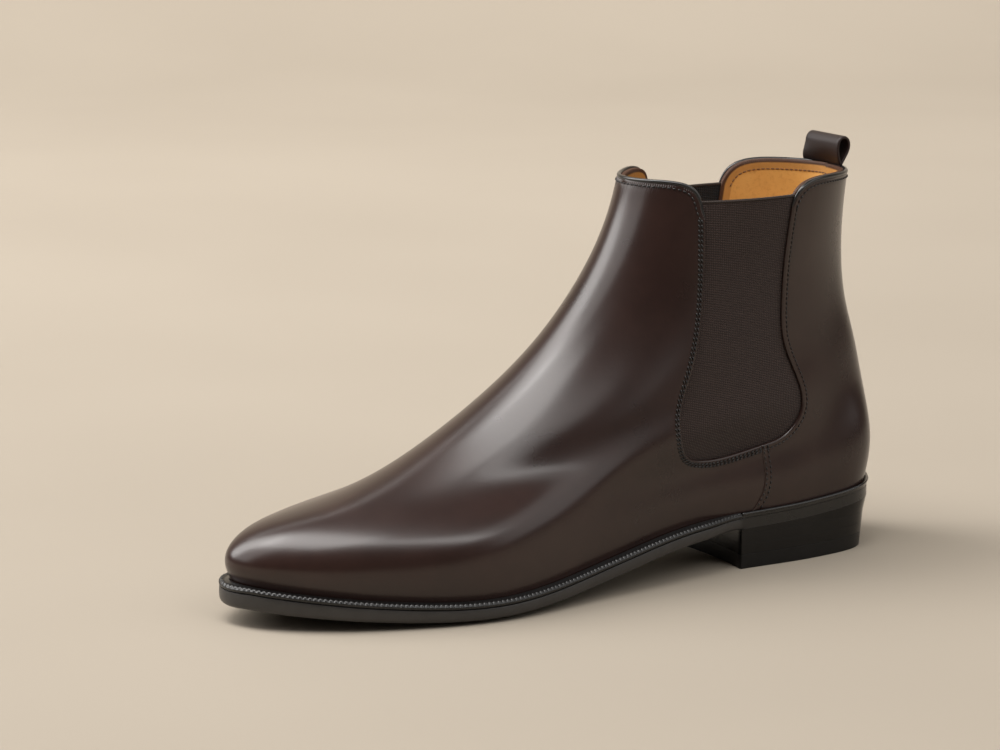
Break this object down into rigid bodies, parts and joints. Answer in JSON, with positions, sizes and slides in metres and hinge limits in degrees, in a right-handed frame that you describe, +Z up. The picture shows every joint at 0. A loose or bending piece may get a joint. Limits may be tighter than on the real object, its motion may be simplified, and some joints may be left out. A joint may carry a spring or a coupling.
{
  "type": "chelsea boot",
  "caption": "Ankle-high slip-on leather boot with elastic side gussets, welted leather sole, stacked heel and a pull tab at the back.",
  "frame": {"origin": "on the ground, at the centre of the boot's length and width", "axes": "toe towards -Y, heel towards +Y, the wearer's left (lateral side) towards +X, up is +Z"},
  "size_m": [0.0975, 0.3037, 0.1753],
  "materials": {
    "upper_leather": "smooth polished calf, fine grain",
    "gusset_elastic": "fine woven elastic webbing",
    "lining_leather": "smooth vegetable tanned lining leather",
    "backing_cloth": "cotton drill",
    "stiffener": "moulded fibre stiffener",
    "edge_binding": "black bound edge",
    "pull_tab_leather": "smooth leather strap",
    "sock_leather": "smooth lining leather",
    "insole_leather": "vegetable tanned sole bend",
    "rib_cloth": "canvas rib",
    "cork": "ground cork filler",
    "shank_steel": "spring steel strip",
    "welt_leather": "black welt with wheeled top",
    "outsole_leather": "black waxed sole edge",
    "heel_leather": "black polished heel edge",
    "top_piece_rubber": "matt rubber",
    "nail_steel": "wire nail",
    "pin_brass": "brass pin"
  },
  "bodies": {
    "boot": {"vamp": "upper_leather", "vamp_instep_crease": "upper_leather", "quarter_lateral": "upper_leather", "quarter_medial": "upper_leather", "vamp_lining": "lining_leather", "instep_lining_crease": "lining_leather", "quarter_lining": "lining_leather", "gusset_lateral": "gusset_elastic", "gusset_medial": "gusset_elastic", "pull_tab_sewn_ends": "pull_tab_leather", "toe_puff": "stiffener", "heel_counter": "stiffener", "vamp_backing_cloth": "backing_cloth", "quarter_backing_cloth": "backing_cloth", "quarter_top_binding": "edge_binding", "sock_liner": "sock_leather", "insole": "insole_leather", "insole_rib": "rib_cloth", "cork_filler": "cork", "shank": "shank_steel", "welt": "welt_leather", "heel_seat_rand": "welt_leather", "outsole": "outsole_leather", "heel_seat_lift": "heel_leather", "heel_lift_1": "heel_leather", "heel_lift_2": "heel_leather", "heel_top_piece": "top_piece_rubber", "heel_nails": "nail_steel", "top_piece_pins": "pin_brass"},
    "shaft_front_panel": {"shaft_front": "upper_leather", "shaft_front_lining": "lining_leather", "shaft_front_backing_cloth": "backing_cloth", "shaft_front_top_binding": "edge_binding"},
    "pull_tab_loop": {"pull_tab": "pull_tab_leather"}
  },
  "joints": [
    {"name": "gusset_stretch", "type": "hinge", "parent": "boot", "child": "shaft_front_panel", "pos_m": [0, 0.0395, 0.0575], "axis": [1, 0, 0], "range_deg": [0, 10], "stiffness_Nm_per_rad": 14, "deforming": ["vamp_instep_crease", "instep_lining_crease", "gusset_lateral", "gusset_medial"]},
    {"name": "pull_tab_flop", "type": "hinge", "parent": "boot", "child": "pull_tab_loop", "pos_m": [0, 0.13867, 0.1628], "axis": [1, 0, 0], "range_deg": [-60, 60], "stiffness_Nm_per_rad": 0.01}
  ]
}
